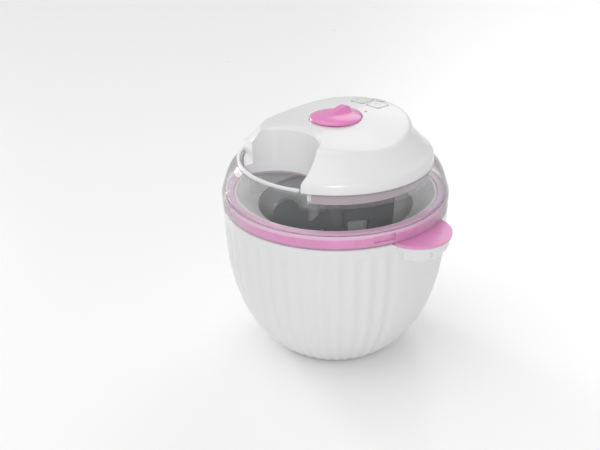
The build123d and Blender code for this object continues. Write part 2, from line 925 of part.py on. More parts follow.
with BuildPart() as output_bush:
    with BuildSketch(Plane.XY.offset(base_low)):
        Circle(shaft_radius + 3.5)
        Circle(shaft_radius + running_clearance, mode=Mode.SUBTRACT)
    extrude(amount=base_floor + 0.8)
    with BuildSketch(Plane.XY.offset(tray_low)):
        Circle(shaft_radius + 5.5)
        Circle(shaft_radius + running_clearance, mode=Mode.SUBTRACT)
    extrude(amount=0.8)
export_piece(output_bush, "output_bush")

with BuildPart() as cluster_gear:
    turn = cluster_angle + 180
    extrude(
        Plane.XY.offset(output_low) * gear_sketch(pinion_teeth, cluster_centre, turn, 2.05),
        amount=wheel_low - output_low,
    )
    extrude(
        Plane.XY.offset(wheel_low) * gear_sketch(wheel_teeth, cluster_centre, wheel_gap, 2.05),
        amount=gear_width,
    )
export_piece(cluster_gear, "cluster_gear")

with BuildPart() as cluster_axle:
    with BuildSketch(Plane.XY.offset(base_low + 0.4)):
        with Locations(cluster_centre):
            Circle(2.0)
    extrude(amount=plate_z + plate_thickness - base_low - 0.4)
export_piece(cluster_axle, "cluster_axle")

with BuildPart() as gear_plate:
    with BuildSketch(Plane.XY.offset(plate_z)):
        with BuildLine():
            Polyline(
                column_points[0],
                (motor_centre[0] + motor_radius - 1.0, motor_centre[1]),
                column_points[1],
                column_points[2],
                column_points[0],
            )
        make_face()
        offset(amount=7.0, kind=Kind.ARC)
        with Locations(motor_centre):
            Circle(motor_radius + 2)
    extrude(amount=plate_thickness)
    with BuildSketch(Plane.XY.offset(plate_z)):
        with Locations(motor_centre):
            Circle(4.0)
        Circle(shaft_radius + running_clearance)
        with Locations(cluster_centre):
            Circle(2.0)
        with Locations(*column_points):
            Circle(1.6)
        with Locations(*[(motor_centre[0] + dx, motor_centre[1]) for dx in (-10, 10)]):
            Circle(1.3)
    extrude(amount=plate_thickness, mode=Mode.SUBTRACT)
export_piece(gear_plate, "gear_plate")

with BuildPart() as plate_screws:
    with BuildSketch(Plane.XY.offset(plate_z - 6)):
        with Locations(*column_points):
            Circle(1.15)
    extrude(amount=6 + plate_thickness)
    with BuildSketch(Plane.XY.offset(plate_z + plate_thickness)):
        with Locations(*column_points):
            Circle(2.8)
    extrude(amount=1.6)
export_piece(plate_screws, "plate_screws")

motor_low = plate_z + plate_thickness
with BuildPart() as motor_can:
    with BuildSketch(Plane.XY.offset(motor_low)):
        with Locations(motor_centre):
            Circle(motor_radius)
    extrude(amount=motor_height)
    fillet(motor_can.edges().group_by(Axis.Z)[-1], 2.0)
    with BuildSketch(Plane.XY.offset(motor_low)):
        with Locations(motor_centre):
            Circle(1.6)
        with Locations(*[(motor_centre[0] + dx, motor_centre[1]) for dx in (-10, 10)]):
            Circle(1.1)
    extrude(amount=5.0, mode=Mode.SUBTRACT)
export_piece(motor_can, "motor_can")

with BuildPart() as motor_screws:
    with BuildSketch(Plane.XY.offset(plate_z - 1.0)):
        with Locations(*[(motor_centre[0] + dx, motor_centre[1]) for dx in (-10, 10)]):
            Circle(2.2)
    extrude(amount=1.0)
    with BuildSketch(Plane.XY.offset(plate_z)):
        with Locations(*[(motor_centre[0] + dx, motor_centre[1]) for dx in (-10, 10)]):
            Circle(1.05)
    extrude(amount=plate_thickness + 4.0)
export_piece(motor_screws, "motor_screws")

with BuildPart() as motor_shaft:
    with BuildSketch(Plane.XY.offset(wheel_low - 0.5)):
        with Locations(motor_centre):
            Circle(1.5)
    extrude(amount=motor_low + 4.5 - wheel_low)
export_piece(motor_shaft, "motor_shaft")

with BuildPart() as motor_pinion:
    extrude(
        Plane.XY.offset(wheel_low - 0.5)
        * gear_sketch(pinion_teeth, motor_centre, motor_angle + 180, 1.5),
        amount=gear_width + 1.0,
    )
export_piece(motor_pinion, "motor_pinion")

with BuildPart() as cover_screws:
    with BuildSketch(Plane.XY.offset(base_low + 0.1)):
        with Locations(*boss_points):
            Circle(3.1)
    extrude(amount=1.5)
    with BuildSketch(Plane.XY.offset(base_low + 1.6)):
        with Locations(*boss_points):
            Circle(1.6)
    extrude(amount=lid_top + 12.0 - base_low - 1.6)
export_piece(cover_screws, "cover_screws")

# ---------------------------------------------------------------- controls
switch_top = roof_z - cover_wall - 0.4
with BuildPart() as rotary_switch:
    with BuildSketch(Plane.XY.offset(switch_top - 11)):
        RectangleRounded(22, 22, 2)
        Circle(knob_spindle + running_clearance, mode=Mode.SUBTRACT)
    extrude(amount=9)
export_piece(rotary_switch, "rotary_switch")

with BuildPart() as knob_shaft:
    with BuildSketch(Plane.XY.offset(switch_top - 12)):
        Circle(knob_spindle)
    extrude(amount=roof_z + 4 - switch_top + 12)
export_piece(knob_shaft, "knob_shaft")

with BuildPart() as control_knob:
    knob_low = roof_z - 0.8
    with BuildSketch(Plane.XZ):
        with BuildLine():
            Line((0, knob_low), (knob_radius, knob_low))
            Line((knob_radius, knob_low), (knob_radius, knob_low + 1.6))
            Spline(
                (knob_radius, knob_low + 1.6),
                (knob_radius - 6, knob_low + 4.6),
                (0, knob_low + 6.4),
                tangents=[(-0.4, 1), (-1, 0)],
            )
            Line((0, knob_low + 6.4), (0, knob_low))
        make_face()
    revolve(axis=Axis.Z)
    # Raised finger ridge: low towards the chute, high towards the keypad.
    with BuildSketch(Plane.YZ):
        with BuildLine():
            ridge = Spline(
                (-knob_radius + 1, knob_low + 1.6),
                (-4, knob_low + 8.6),
                (13, knob_low + knob_height),
                (knob_radius - 3.5, knob_low + 1.6),
                tangents=[(1, 0.25), (0.25, -1)],
            )
            Line(ridge @ 1, ridge @ 0)
        make_face()
    extrude(amount=4.5, both=True)
    ridge_rims = control_knob.edges().filter_by(
        lambda edge: abs(abs(edge.center().X) - 4.5) < 0.01 and edge.center().Z > knob_low + 6
    )
    fillet(ridge_rims, 1.8)
    with BuildSketch(Plane.XY.offset(knob_low)):
        Circle(knob_spindle)
    extrude(amount=roof_z + 4 - knob_low, mode=Mode.SUBTRACT)
export_piece(control_knob, "control_knob")

board_z = roof_z - 7.5
with BuildPart() as control_board:
    with BuildSketch(Plane.XY.offset(board_z)):
        with Locations((0, key_centre_y)):
            RectangleRounded(*board_size, 2)
    extrude(amount=1.6)
export_piece(control_board, "control_board")

with BuildPart() as tact_switches:
    for name, place in keys.items():
        if place[-1] > 0:
            with BuildSketch(Plane.XY.offset(board_z + 1.6)):
                with Locations(place[:2]):
                    Rectangle(6, 6)
            extrude(amount=2.0)
export_piece(tact_switches, "tact_switches")

raised_form = cover_form(-0.4)
for name, place in keys.items():
    stem_low = board_z + 3.6 + place[-1] + 0.1
    with BuildPart() as key:
        extrude(Plane.XY.offset(roof_z - 1.0) * key_outline(place, 0.0), amount=30)
        add(raised_form, mode=Mode.INTERSECT)
        with BuildSketch(Plane.XY.offset(stem_low)):
            with Locations(place[:2]):
                Circle(2.4)
        extrude(amount=roof_z - 1.0 - stem_low)
    export_piece(key, name)

with BuildPart() as power_light:
    with BuildSketch(Plane.XY.offset(roof_z - 4)):
        with Locations(light_place):
            Circle(1.5)
    extrude(amount=20)
    add(cover_form(-0.1), mode=Mode.INTERSECT)
export_piece(power_light, "power_light")

with BuildPart() as cord_gland:
    with BuildSketch(Plane.XZ.offset(-cover_radius + 12)):
        with Locations((0, gland_z)):
            Circle(gland_bore + 2.3)
            Circle(gland_bore, mode=Mode.SUBTRACT)
    extrude(amount=-12)
    with BuildSketch(Plane.XZ.offset(-cover_radius - 0.0)):
        with Locations((0, gland_z)):
            Circle(gland_bore + 4.0)
            Circle(gland_bore, mode=Mode.SUBTRACT)
    extrude(amount=-3)
export_piece(cord_gland, "cord_gland")

# ---------------------------------------------------------------- paddle
ear_z = ring_top - 3.0
with BuildPart() as mixing_paddle:
    floor = cup_floor + paddle_gap
    reach = cup_radius_bottom - paddle_gap
    ear = blade_width / 2
    with BuildSketch(Plane.XZ):
        with BuildLine():
            Polyline(
                (0, floor),
                (reach - cup_corner, floor),
                (reach, floor + cup_corner),
                (reach + 4.0, ear_z - ear),
                (reach + 4.0 - blade_width, ear_z - ear),
                (0, ear_z - 26),
                (0, floor),
            )
        make_face()
        with Locations((reach + 4.0 - ear, ear_z - ear)):
            Circle(ear)
        with BuildLine():
            Polyline(
                (paddle_hub + 4, floor + blade_bar),
                (reach - blade_width, floor + blade_bar),
                (reach + 2.5 - blade_width, ear_z - 26 - blade_bar - 4),
                (paddle_hub + 4, ear_z - 26 - blade_bar),
                (paddle_hub + 4, floor + blade_bar),
            )
        make_face(mode=Mode.SUBTRACT)
    extrude(amount=paddle_thickness / 2, both=True)
    mirror(about=Plane.YZ)
    fillet(mixing_paddle.edges().filter_by(Axis.Y), 2.0)
    with BuildSketch(Plane.XY.offset(floor)):
        Circle(paddle_hub)
    extrude(amount=deck_top - floor)
    with BuildSketch(Plane.XY.offset(base_low - 2.0 - hex_length)):
        RegularPolygon(hex_width / 2 + 0.15, 6, major_radius=False)
    extrude(amount=hex_length + 5, mode=Mode.SUBTRACT)
mixing_paddle.part = mixing_paddle.part.rotate(Axis.Z, paddle_angle)
export_piece(mixing_paddle, "mixing_paddle")
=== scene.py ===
# Looks of a counter-top ice cream maker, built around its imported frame. Metres, +Z up; the grips
# lie along X, the filling chute faces -Y and the keypad lies towards +Y.
import json
from math import atan2, cos, hypot, pi, radians, sin, tau

import bpy
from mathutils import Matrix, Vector


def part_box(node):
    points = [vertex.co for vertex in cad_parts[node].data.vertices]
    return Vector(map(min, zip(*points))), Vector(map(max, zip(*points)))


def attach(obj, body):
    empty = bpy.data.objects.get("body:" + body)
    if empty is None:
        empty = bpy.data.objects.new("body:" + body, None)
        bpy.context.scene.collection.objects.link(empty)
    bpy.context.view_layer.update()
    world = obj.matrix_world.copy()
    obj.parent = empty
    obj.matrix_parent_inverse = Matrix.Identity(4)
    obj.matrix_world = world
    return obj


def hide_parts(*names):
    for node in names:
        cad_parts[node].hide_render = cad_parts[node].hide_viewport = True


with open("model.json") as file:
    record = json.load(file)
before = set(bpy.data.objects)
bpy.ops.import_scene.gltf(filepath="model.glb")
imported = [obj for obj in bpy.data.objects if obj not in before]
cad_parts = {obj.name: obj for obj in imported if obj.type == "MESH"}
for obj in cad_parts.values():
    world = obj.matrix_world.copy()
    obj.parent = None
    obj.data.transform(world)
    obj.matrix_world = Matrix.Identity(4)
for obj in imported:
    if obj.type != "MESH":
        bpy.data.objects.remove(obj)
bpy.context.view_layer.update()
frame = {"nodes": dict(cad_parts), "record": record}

MM = 0.001
scene = bpy.context.scene


# ------------------------------------------------------------------ working by hand, in code
def put_everything_down():
    """Leave edit mode with nothing selected."""
    if bpy.context.object and bpy.context.object.mode != "OBJECT":
        bpy.ops.object.mode_set(mode="OBJECT")
    bpy.ops.object.select_all(action="DESELECT")


def pick_up(piece):
    """Make one object the selected, active one."""
    put_everything_down()
    piece.select_set(True)
    bpy.context.view_layer.objects.active = piece


def choose(piece, kind, wanted):
    """In edit mode, select the vertices, edges or faces that a test on their place accepts."""
    bpy.ops.mesh.select_all(action="DESELECT")
    bpy.ops.mesh.select_mode(type=kind)
    bpy.ops.object.mode_set(mode="OBJECT")
    world = piece.matrix_world
    mesh = piece.data
    if kind == "VERT":
        for vertex in mesh.vertices:
            vertex.select = wanted(world @ vertex.co)
    elif kind == "EDGE":
        for edge in mesh.edges:
            ends = [world @ mesh.vertices[index].co for index in edge.vertices]
            edge.select = wanted(*ends)
    else:
        for face in mesh.polygons:
            face.select = wanted(world @ face.center, face.normal)
    bpy.ops.object.mode_set(mode="EDIT")


def settle(piece):
    """Put the object's turn, size and place into its mesh."""
    pick_up(piece)
    bpy.ops.object.transform_apply(location=True, rotation=True, scale=True)


def use_modifier(piece, kind, **settings):
    """Add a modifier, set it and apply it."""
    pick_up(piece)
    modifier = piece.modifiers.new(kind.lower(), kind)
    for name, value in settings.items():
        setattr(modifier, name, value)
    bpy.ops.object.modifier_apply(modifier=modifier.name)


def smooth(piece, degrees=32):
    """Smooth shading, with edges sharper than an angle kept crisp."""
    pick_up(piece)
    bpy.ops.object.shade_smooth_by_angle(angle=radians(degrees))


def tidy_mesh(piece, gap=0.01 * MM):
    """Weld doubles and turn the faces outwards."""
    pick_up(piece)
    bpy.ops.object.mode_set(mode="EDIT")
    bpy.ops.mesh.select_all(action="SELECT")
    bpy.ops.mesh.remove_doubles(threshold=gap)
    bpy.ops.mesh.normals_make_consistent(inside=False)
    bpy.ops.object.mode_set(mode="OBJECT")


def lathed(name, profile, segments=192, loop=False):
    """Ring after ring is pulled out of a circle along a profile of (radius, height) points in mm.
    A loop joins its last ring to the first; otherwise an end on the axis is closed to a point."""
    put_everything_down()
    radius, height = profile[0]
    bpy.ops.mesh.primitive_circle_add(
        vertices=segments, radius=radius * MM, location=(0, 0, height * MM), fill_type="NOTHING"
    )
    piece = bpy.context.object
    piece.name = name
    bpy.ops.object.mode_set(mode="EDIT")
    bpy.ops.mesh.select_all(action="SELECT")
    for next_radius, next_height in profile[1:]:
        share = next_radius / radius
        bpy.ops.mesh.extrude_region_move(
            TRANSFORM_OT_translate={"value": (0, 0, (next_height - height) * MM)}
        )
        bpy.ops.transform.resize(value=(share, share, 1), center_override=(0, 0, next_height * MM))
        radius, height = next_radius, next_height
    if loop:
        bpy.ops.mesh.select_all(action="DESELECT")
        bpy.ops.mesh.select_mode(type="EDGE")
        bpy.ops.mesh.select_non_manifold()
        bpy.ops.mesh.bridge_edge_loops()
    settle(piece)
    return piece


def smooth_line(points, steps=6):
    """Catmull-Rom curve through a few (radius, height) points."""
    curve = []
    ends = [points[0], *points, points[-1]]
    for before, start, stop, after in zip(ends, ends[1:], ends[2:], ends[3:]):
        for step in range(steps):
            t = step / steps
            weights = (
                -0.5 * t + t * t - 0.5 * t**3,
                1 - 2.5 * t * t + 1.5 * t**3,
                0.5 * t + 2 * t * t - 1.5 * t**3,
                -0.5 * t * t + 0.5 * t**3,
            )
            known = (before, start, stop, after)
            curve.append(tuple(sum(w * p[axis] for w, p in zip(weights, known)) for axis in (0, 1)))
    return [*curve, points[-1]]


def cut(piece, cutter, operation="DIFFERENCE"):
    """Boolean with another object, which is used up."""
    use_modifier(piece, "BOOLEAN", operation=operation, object=cutter, solver="EXACT")
    bpy.data.objects.remove(cutter)


def place(piece, body, slot, *nodes):
    """Hand a finished piece to the frame."""
    settle(piece)
    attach(piece, body)
    if nodes:
        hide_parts(*nodes)
    piece.data.materials.clear()
    piece.data.materials.append(finishes[slot])
    return piece


# ------------------------------------------------------------------ finishes
def new_group(name, inputs, outputs):
    """Empty node group with named sockets: (name, kind, default)."""
    group = bpy.data.node_groups.new(name, "ShaderNodeTree")
    for label, kind, value in inputs:
        socket = group.interface.new_socket(label, in_out="INPUT", socket_type="NodeSocket" + kind)
        socket.default_value = value
    for label, kind in outputs:
        group.interface.new_socket(label, in_out="OUTPUT", socket_type="NodeSocket" + kind)
    return group, group.nodes.new("NodeGroupInput"), group.nodes.new("NodeGroupOutput")


def math_node(tree, operation, first, second, third=None):
    """Math node on two or three sockets or numbers; gives its output."""
    node = tree.nodes.new("ShaderNodeMath")
    node.operation = operation
    for socket, value in zip(node.inputs, (first, second, third)):
        if isinstance(value, (int, float)):
            socket.default_value = value
        elif value is not None:
            tree.links.new(value, socket)
    return node.outputs[0]


def mix_node(tree, share, first, second, blend="MIX"):
    """Colour mix of sockets or colours; gives its output."""
    node = tree.nodes.new("ShaderNodeMix")
    node.data_type = "RGBA"
    node.blend_type = blend
    sockets = (node.inputs["Factor"], node.inputs[6], node.inputs[7])
    for socket, value in zip(sockets, (share, first, second)):
        if isinstance(value, (int, float)):
            socket.default_value = value
        elif isinstance(value, tuple):
            socket.default_value = (*value, 1.0)
        else:
            tree.links.new(value, socket)
    return node.outputs[2]


def noise_node(tree, place_socket, scale, detail=2.0):
    """Noise on a place socket; gives its value output."""
    node = tree.nodes.new("ShaderNodeTexNoise")
    node.inputs["Detail"].default_value = detail
    tree.links.new(place_socket, node.inputs["Vector"])
    if isinstance(scale, (int, float)):
        node.inputs["Scale"].default_value = scale
    else:
        tree.links.new(scale, node.inputs["Scale"])
    return node.outputs["Fac"]


def object_place(tree):
    """The Object coordinates."""
    return tree.nodes.new("ShaderNodeTexCoord").outputs["Object"]


def moulded_skin_group():
    """Moulded plastic: faint flow shading, uneven gloss, fine spark-eroded grain and sink marks."""
    group, source, result = new_group(
        "moulded_skin",
        [("Colour", "Color", (0.8, 0.8, 0.8, 1)), ("Shading", "Float", 0.05),
         ("Grain", "Float", 1800.0), ("Gloss", "Float", 0.3), ("Uneven", "Float", 0.1)],
        [("Colour", "Color"), ("Roughness", "Float"), ("Height", "Float")],
    )
    at = object_place(group)
    flow = noise_node(group, at, 14.0, 3.0)
    grain = noise_node(group, at, source.outputs["Grain"], 1.0)
    sink = noise_node(group, at, 45.0, 1.0)
    share = math_node(group, "MULTIPLY", flow, source.outputs["Shading"])
    shaded = mix_node(group, share, source.outputs["Colour"], (0.35, 0.33, 0.36), "MULTIPLY")
    group.links.new(shaded, result.inputs["Colour"])
    drift = math_node(group, "SUBTRACT", flow, 0.5)
    gloss = math_node(group, "MULTIPLY_ADD", drift, source.outputs["Uneven"], source.outputs["Gloss"])
    group.links.new(gloss, result.inputs["Roughness"])
    height = math_node(group, "MULTIPLY_ADD", sink, 0.5, grain)
    group.links.new(height, result.inputs["Height"])
    return group


def turned_metal_group():
    """Turned or drawn metal: fine rings round Z, blotched by handling."""
    group, source, result = new_group(
        "turned_metal",
        [("Colour", "Color", (0.6, 0.6, 0.6, 1)), ("Pitch", "Float", 900.0), ("Gloss", "Float", 0.3)],
        [("Colour", "Color"), ("Roughness", "Float"), ("Height", "Float")],
    )
    at = object_place(group)
    blotch = noise_node(group, at, 30.0, 4.0)
    stretch = group.nodes.new("ShaderNodeMapping")
    stretch.inputs["Scale"].default_value = (0.02, 0.02, 1.0)
    group.links.new(at, stretch.inputs["Vector"])
    rings = noise_node(group, stretch.outputs["Vector"], source.outputs["Pitch"], 2.0)
    dulled = math_node(group, "MULTIPLY", blotch, 0.4)
    group.links.new(
        mix_node(group, dulled, source.outputs["Colour"], (0.5, 0.5, 0.52), "MULTIPLY"),
        result.inputs["Colour"],
    )
    drift = math_node(group, "SUBTRACT", rings, 0.5)
    group.links.new(
        math_node(group, "MULTIPLY_ADD", drift, 0.3, source.outputs["Gloss"]), result.inputs["Roughness"]
    )
    group.links.new(rings, result.inputs["Height"])
    return group


def speckle_group():
    """Dusty rubber or lacquered board: pale specks and a matte drift."""
    group, source, result = new_group(
        "speckle",
        [("Colour", "Color", (0.1, 0.1, 0.1, 1)), ("Speck", "Color", (0.3, 0.3, 0.3, 1)),
         ("Amount", "Float", 0.2), ("Size", "Float", 900.0), ("Gloss", "Float", 0.7)],
        [("Colour", "Color"), ("Roughness", "Float"), ("Height", "Float")],
    )
    at = object_place(group)
    specks = noise_node(group, at, source.outputs["Size"], 3.0)
    drift = noise_node(group, at, 40.0, 2.0)
    mask = math_node(group, "MULTIPLY", specks, source.outputs["Amount"])
    group.links.new(
        mix_node(group, mask, source.outputs["Colour"], source.outputs["Speck"]), result.inputs["Colour"]
    )
    centred = math_node(group, "SUBTRACT", drift, 0.5)
    group.links.new(
        math_node(group, "MULTIPLY_ADD", centred, 0.2, source.outputs["Gloss"]), result.inputs["Roughness"]
    )
    group.links.new(specks, result.inputs["Height"])
    return group


def rounded_frame_group():
    """Thin printed line along the inside of a rounded rectangle about a centre in plan."""
    group, source, result = new_group(
        "rounded_frame",
        [("Half width", "Float", 0.008), ("Half depth", "Float", 0.008), ("Corner", "Float", 0.003),
         ("Centre", "Vector", (0, 0, 0)), ("Inset", "Float", 0.0005), ("Line", "Float", 0.0004)],
        [("Mask", "Float")],
    )
    shifted = group.nodes.new("ShaderNodeVectorMath")
    shifted.operation = "SUBTRACT"
    group.links.new(object_place(group), shifted.inputs[0])
    group.links.new(source.outputs["Centre"], shifted.inputs[1])
    parts = group.nodes.new("ShaderNodeSeparateXYZ")
    group.links.new(shifted.outputs[0], parts.inputs[0])
    excess = []
    for axis, half in (("X", "Half width"), ("Y", "Half depth")):
        away = math_node(group, "ABSOLUTE", parts.outputs[axis], 0.0)
        core = math_node(group, "SUBTRACT", source.outputs[half], source.outputs["Corner"])
        excess.append(math_node(group, "MAXIMUM", math_node(group, "SUBTRACT", away, core), 0.0))
    squares = [math_node(group, "MULTIPLY", value, value) for value in excess]
    length = math_node(group, "SQRT", math_node(group, "ADD", *squares), 0.0)
    depth = math_node(group, "SUBTRACT", source.outputs["Corner"], length)
    off_line = math_node(group, "ABSOLUTE", math_node(group, "SUBTRACT", depth, source.outputs["Inset"]), 0.0)
    half_line = math_node(group, "MULTIPLY", source.outputs["Line"], 0.5)
    group.links.new(math_node(group, "LESS_THAN", off_line, half_line), result.inputs["Mask"])
    return group


groups = {
    "moulded": moulded_skin_group(),
    "turned": turned_metal_group(),
    "speckle": speckle_group(),
    "frame": rounded_frame_group(),
}


def new_material(name, **sockets):
    """Material with a Principled shader whose constants are set on its own sockets."""
    material = bpy.data.materials.new(name)
    material.use_nodes = True
    shader = material.node_tree.nodes["Principled BSDF"]
    for label, value in sockets.items():
        shader.inputs[label.replace("_", " ")].default_value = value
    return material, material.node_tree, shader


def coated(name, group, values, bump=0.05, distance=0.0002, **sockets):
    """Material that takes colour, roughness and relief from a shared group."""
    material, tree, shader = new_material(name, **sockets)
    node = tree.nodes.new("ShaderNodeGroup")
    node.node_tree = groups[group]
    for label, value in values.items():
        node.inputs[label].default_value = (*value, 1.0) if isinstance(value, tuple) else value
    relief = tree.nodes.new("ShaderNodeBump")
    relief.inputs["Strength"].default_value = bump
    relief.inputs["Distance"].default_value = distance
    tree.links.new(node.outputs["Height"], relief.inputs["Height"])
    tree.links.new(relief.outputs["Normal"], shader.inputs["Normal"])
    tree.links.new(node.outputs["Colour"], shader.inputs["Base Color"])
    tree.links.new(node.outputs["Roughness"], shader.inputs["Roughness"])
    return material


def plastic(name, colour, gloss=0.3, shading=0.05, coat=0.2, bump=0.04, grain=1800.0):
    """Moulded plastic in one colour."""
    values = {"Colour": colour, "Gloss": gloss, "Shading": shading, "Grain": grain}
    return coated(name, "moulded", values, bump, 0.0001, Coat_Weight=coat, Coat_Roughness=0.12)


def metal(name, colour, gloss=0.3, pitch=900.0, bare=1.0):
    """Bare turned or drawn metal; a lower share of bareness mixes in a plain pale surface."""
    values = {"Colour": colour, "Gloss": gloss, "Pitch": pitch}
    return coated(name, "turned", values, 0.15, 0.00008, Metallic=bare)


def clear_plastic(name):
    """Polished clear plastic: nearly unseen face on, with a painted dark outline where it is seen edge on,
    standing in for the dark edges that refraction gives clear plastic.
    """
    material, tree, shader = new_material(
        name, Roughness=0.06, IOR=1.45, Specular_IOR_Level=0.25
    )
    facing = tree.nodes.new("ShaderNodeLayerWeight")
    facing.inputs["Blend"].default_value = 0.6
    haze = noise_node(tree, object_place(tree), 60.0, 3.0)
    # Painted shade: towards grazing angles the colour turns dark and less clear, outlining the lid as refraction
    # would.
    edge = math_node(tree, "POWER", facing.outputs["Facing"], 3.6)
    edge_shaded_colour = mix_node(tree, edge, (0.92, 0.92, 0.93), (0.07, 0.045, 0.065))
    parts = tree.nodes.new("ShaderNodeSeparateXYZ")
    tree.links.new(object_place(tree), parts.inputs[0])
    # The pouring lip is painted whiter and less clear, a painted highlight for the light its clear rim catches.
    lip = math_node(tree, "GREATER_THAN", parts.outputs["Z"], 0.1985)
    lip_highlighted = mix_node(tree, lip, edge_shaded_colour, (0.95, 0.95, 0.96))
    tree.links.new(mix_node(tree, 0.04, lip_highlighted, haze, "MULTIPLY"), shader.inputs["Base Color"])
    clear = math_node(tree, "MULTIPLY_ADD", edge, 0.92, 0.03)
    # Painted highlight: the lip is made less clear so that its whiter colour shows.
    lip_highlight_share = math_node(tree, "MULTIPLY", lip, 0.6)
    tree.links.new(math_node(tree, "MINIMUM", math_node(tree, "ADD", clear, lip_highlight_share), 1.0), shader.inputs["Alpha"])
    tree.links.new(math_node(tree, "MULTIPLY_ADD", haze, 0.05, 0.03), shader.inputs["Roughness"])
    return material


def ring_plastic_painted_highlight(name, colour, painted_highlight_colour, height):
    """Ring moulding with a painted highlight: paler above a height, where the top of the ring catches the light.
    """
    material = plastic(name, colour, 0.28, 0.06, 0.3)
    tree = material.node_tree
    shader = tree.nodes["Principled BSDF"]
    base = shader.inputs["Base Color"].links[0].from_socket
    parts = tree.nodes.new("ShaderNodeSeparateXYZ")
    tree.links.new(object_place(tree), parts.inputs[0])
    # Painted highlight: above this height the pink is mixed towards a paler colour, standing in for light on the
    # ring's top.
    above = math_node(tree, "GREATER_THAN", parts.outputs["Z"], height)
    share = math_node(tree, "MULTIPLY", above, 0.55)
    tree.links.new(mix_node(tree, share, base, painted_highlight_colour), shader.inputs["Base Color"])
    return material


def tray_plastic(name, colour, painted):
    """Tray moulding in one colour, with the walls of its filling recess tinted in another."""
    material = plastic(name, colour, 0.4, 0.08, 0.1)
    tree = material.node_tree
    shader = tree.nodes["Principled BSDF"]
    base = shader.inputs["Base Color"].links[0].from_socket
    parts = tree.nodes.new("ShaderNodeSeparateXYZ")
    tree.links.new(object_place(tree), parts.inputs[0])
    across = math_node(tree, "MULTIPLY", parts.outputs["X"], parts.outputs["X"])
    along = math_node(tree, "ADD", parts.outputs["Y"], 0.080)
    reach = math_node(tree, "SQRT", math_node(tree, "MULTIPLY_ADD", along, along, across), 0.0)
    recess = math_node(tree, "LESS_THAN", reach, 0.0452)
    left = math_node(tree, "LESS_THAN", parts.outputs["X"], -0.036)
    front = math_node(tree, "LESS_THAN", parts.outputs["Y"], -0.046)
    above = math_node(tree, "GREATER_THAN", parts.outputs["Z"], 0.1885)
    shelf = math_node(tree, "MULTIPLY", left, front)
    mask = math_node(tree, "MULTIPLY", math_node(tree, "MAXIMUM", recess, shelf), above)
    tree.links.new(mix_node(tree, mask, base, painted), shader.inputs["Base Color"])
    return material


def printed_key(name, node, colour, line_colour, inner):
    """Key or window with a thin printed outline and, inside it, a smaller one."""
    low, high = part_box(node)
    material, tree, shader = new_material(name, Coat_Weight=0.2)
    skin = tree.nodes.new("ShaderNodeGroup")
    skin.node_tree = groups["moulded"]
    skin.inputs["Colour"].default_value = (*colour, 1.0)
    skin.inputs["Gloss"].default_value = 0.35
    result = skin.outputs["Colour"]
    half = ((high.x - low.x) / 2, (high.y - low.y) / 2)
    middle = ((low.x + high.x) / 2, (low.y + high.y) / 2, 0.0)
    for share, line in ((1.0, 0.7 * MM), (inner, 0.5 * MM)):
        outline = tree.nodes.new("ShaderNodeGroup")
        outline.node_tree = groups["frame"]
        outline.inputs["Half width"].default_value = half[0] * share
        outline.inputs["Half depth"].default_value = half[1] * share * (1.0 if share == 1 else 0.75)
        outline.inputs["Corner"].default_value = min(half) * share * 0.4
        outline.inputs["Centre"].default_value = middle
        outline.inputs["Inset"].default_value = 0.35 * MM
        outline.inputs["Line"].default_value = line
        result = mix_node(tree, outline.outputs["Mask"], result, line_colour)
    tree.links.new(result, shader.inputs["Base Color"])
    tree.links.new(skin.outputs["Roughness"], shader.inputs["Roughness"])
    return material


